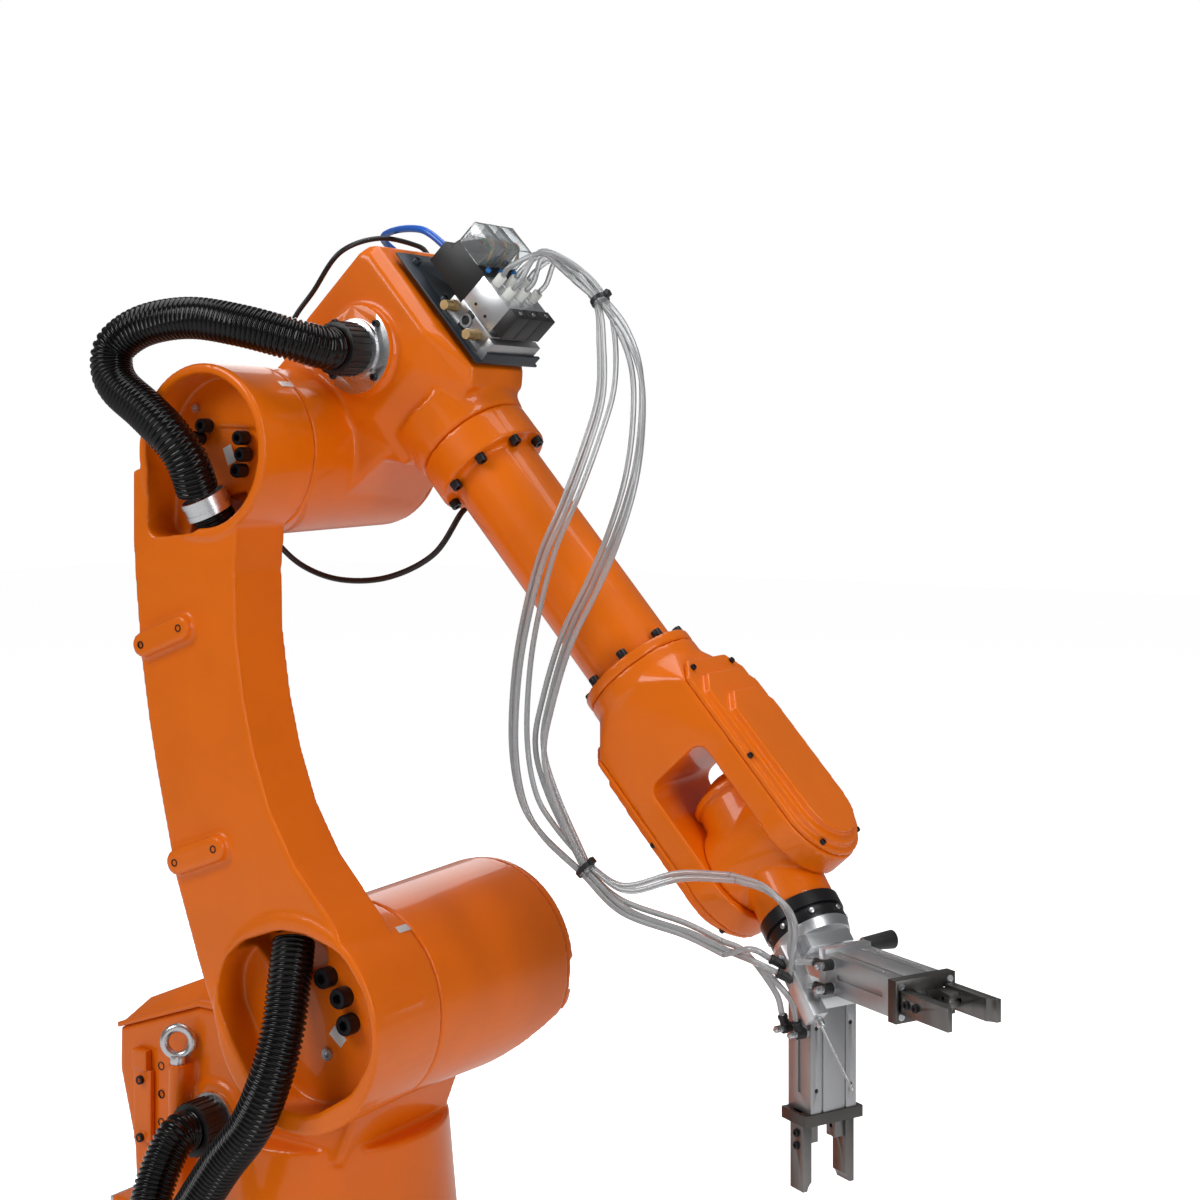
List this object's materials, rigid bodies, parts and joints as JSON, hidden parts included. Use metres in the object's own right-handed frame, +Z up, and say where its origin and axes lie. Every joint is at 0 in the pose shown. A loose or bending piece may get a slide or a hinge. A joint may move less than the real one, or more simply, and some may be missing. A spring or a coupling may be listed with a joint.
{
  "type": "six-axis robot arm",
  "caption": "Articulated industrial robot arm on a turning base, with a roll-bend-roll wrist, outside cable conduit, a valve station and two air grippers.",
  "frame": {"origin": "centre of the base foot's underside, on the turning axis", "axes": "+Z up along the turning axis, +X forward towards the shoulder axis, +Y to the arm's left"},
  "size_m": [1.3836, 0.5276, 1.4766],
  "materials": {
    "orange_paint": "gloss",
    "black_oxide": "satin",
    "black_steel": "satin",
    "zinc_steel": "satin",
    "motor_grey": "matte",
    "reducer_steel": "matte",
    "bearing_steel": "satin",
    "conduit_black": "satin",
    "bracket_grey": "satin",
    "aluminium": "satin",
    "aluminium_anodised": "satin",
    "brass": "satin",
    "clear_plastic": "gloss",
    "black_plastic": "matte",
    "blue_plastic": "gloss",
    "tool_steel": "satin",
    "belt_rubber": "matte",
    "clear_tube": "gloss"
  },
  "bodies": {
    "base": {"base_casting": "orange_paint", "foundation_bolts": "zinc_steel", "connector_panel": "aluminium", "panel_connectors": "black_plastic", "j1_reducer": "reducer_steel", "slewing_bearing": "bearing_steel"},
    "turret": {"turret_casting": "orange_paint", "turret_lid": "orange_paint", "turret_side_plate": "orange_paint", "lifting_eye": "zinc_steel", "turret_gland": "black_plastic", "j1_motor": "motor_grey", "j2_motor": "motor_grey", "j2_reducer": "reducer_steel", "shoulder_end_cap": "orange_paint", "lower_conduit": "conduit_black"},
    "upper_arm": {"upper_arm": "orange_paint", "arm_bolts": "black_oxide", "grease_plugs": "zinc_steel", "arm_conduit": "conduit_black", "conduit_clamp": "zinc_steel", "upper_conduit": "conduit_black"},
    "elbow": {"elbow_casting": "orange_paint", "elbow_gland": "black_plastic", "j3_reducer": "reducer_steel", "j3_motor": "motor_grey", "j4_motor": "motor_grey", "elbow_end_cap": "orange_paint", "valve_bracket": "bracket_grey", "valve_manifold": "aluminium_anodised", "brass_silencers": "brass", "valve_bodies": "aluminium", "valve_coils": "black_plastic", "terminal_covers": "clear_plastic", "hose_and_cables": "conduit_black", "forearm_tubes": "clear_tube"},
    "override_button_1": {"override_button_1": "blue_plastic"},
    "override_button_2": {"override_button_2": "blue_plastic"},
    "override_button_3": {"override_button_3": "blue_plastic"},
    "forearm": {"forearm_tube": "orange_paint", "forearm_bolts": "black_oxide", "wrist_fork": "orange_paint", "fork_covers": "orange_paint", "wrist_motors": "motor_grey", "wrist_belts": "belt_rubber", "wrist_tubes": "clear_tube"},
    "wrist": {"wrist_casting": "orange_paint", "wrist_flange": "black_steel", "tool_tubes": "clear_tube"},
    "tool": {"tool_flange": "black_steel", "tool_bracket": "aluminium", "blow_bar": "aluminium", "gripper_1_body": "aluminium_anodised", "gripper_2_body": "aluminium_anodised", "flow_valves": "black_plastic"},
    "clamp_handle": {"clamp_handle": "black_plastic"},
    "gripper_1_jaw_a": {"gripper_1_jaw_a": "tool_steel"},
    "gripper_1_jaw_b": {"gripper_1_jaw_b": "tool_steel"},
    "gripper_2_jaw_a": {"gripper_2_jaw_a": "tool_steel"},
    "gripper_2_jaw_b": {"gripper_2_jaw_b": "tool_steel"}
  },
  "joints": [
    {"name": "j1_swing", "type": "hinge", "parent": "base", "child": "turret", "pos_m": [0, 0, 0.119], "axis": [0, 0, 1], "range_deg": [-170, 170]},
    {"name": "j2_shoulder", "type": "hinge", "parent": "turret", "child": "upper_arm", "pos_m": [0.165, 0, 0.47], "axis": [0, 1, 0], "range_deg": [-45, 60], "deforming": ["lower_conduit"]},
    {"name": "j3_elbow", "type": "hinge", "parent": "upper_arm", "child": "elbow", "pos_m": [0.00671, 0, 1.17238], "axis": [0, 1, 0], "range_deg": [-100, 20], "deforming": ["upper_conduit"]},
    {"name": "j4_forearm_roll", "type": "hinge", "parent": "elbow", "child": "forearm", "pos_m": [0.14419, 0, 1.29617], "axis": [0.6691, 0, -0.7431], "range_deg": [-170, 170], "deforming": ["forearm_tubes"]},
    {"name": "j5_wrist_bend", "type": "hinge", "parent": "forearm", "child": "wrist", "pos_m": [0.68084, 0, 0.70017], "axis": [0.7431, 0, 0.6691], "range_deg": [-92, 128], "deforming": ["wrist_tubes"]},
    {"name": "j6_flange_turn", "type": "hinge", "parent": "wrist", "child": "tool", "pos_m": [0.68084, 0, 0.70017], "axis": [0.6367, -0.3076, -0.7071], "range_deg": [-180, 180], "deforming": ["tool_tubes"]},
    {"name": "clamp_handle_turn", "type": "hinge", "parent": "tool", "child": "clamp_handle", "pos_m": [0.76997, -0.04307, 0.60118], "axis": [0.4351, 0.9004, 0], "range_deg": [0, 120]},
    {"name": "gripper_1_open_a", "type": "slide", "parent": "tool", "child": "gripper_1_jaw_a", "axis": [0.4351, 0.9004, 0], "range_m": [0, 0.012]},
    {"name": "gripper_1_open_b", "type": "slide", "parent": "tool", "child": "gripper_1_jaw_b", "axis": [0.4351, 0.9004, 0], "range_m": [-0.012, 0]},
    {"name": "gripper_2_open_a", "type": "slide", "parent": "tool", "child": "gripper_2_jaw_a", "axis": [0.4351, 0.9004, 0], "range_m": [0, 0.012]},
    {"name": "gripper_2_open_b", "type": "slide", "parent": "tool", "child": "gripper_2_jaw_b", "axis": [0.4351, 0.9004, 0], "range_m": [-0.012, 0]},
    {"name": "button_1_press", "type": "slide", "parent": "elbow", "child": "override_button_1", "axis": [-0.7431, 0, -0.6691], "range_m": [0, 0.003], "stiffness_N_per_m": 300, "springref_m": -0.001},
    {"name": "button_2_press", "type": "slide", "parent": "elbow", "child": "override_button_2", "axis": [-0.7431, 0, -0.6691], "range_m": [0, 0.003], "stiffness_N_per_m": 300, "springref_m": -0.001},
    {"name": "button_3_press", "type": "slide", "parent": "elbow", "child": "override_button_3", "axis": [-0.7431, 0, -0.6691], "range_m": [0, 0.003], "stiffness_N_per_m": 300, "springref_m": -0.001}
  ],
  "couplings": [
    {"joint": "gripper_1_open_b", "follows": "gripper_1_open_a", "ratio": -1},
    {"joint": "gripper_2_open_b", "follows": "gripper_2_open_a", "ratio": -1}
  ]
}
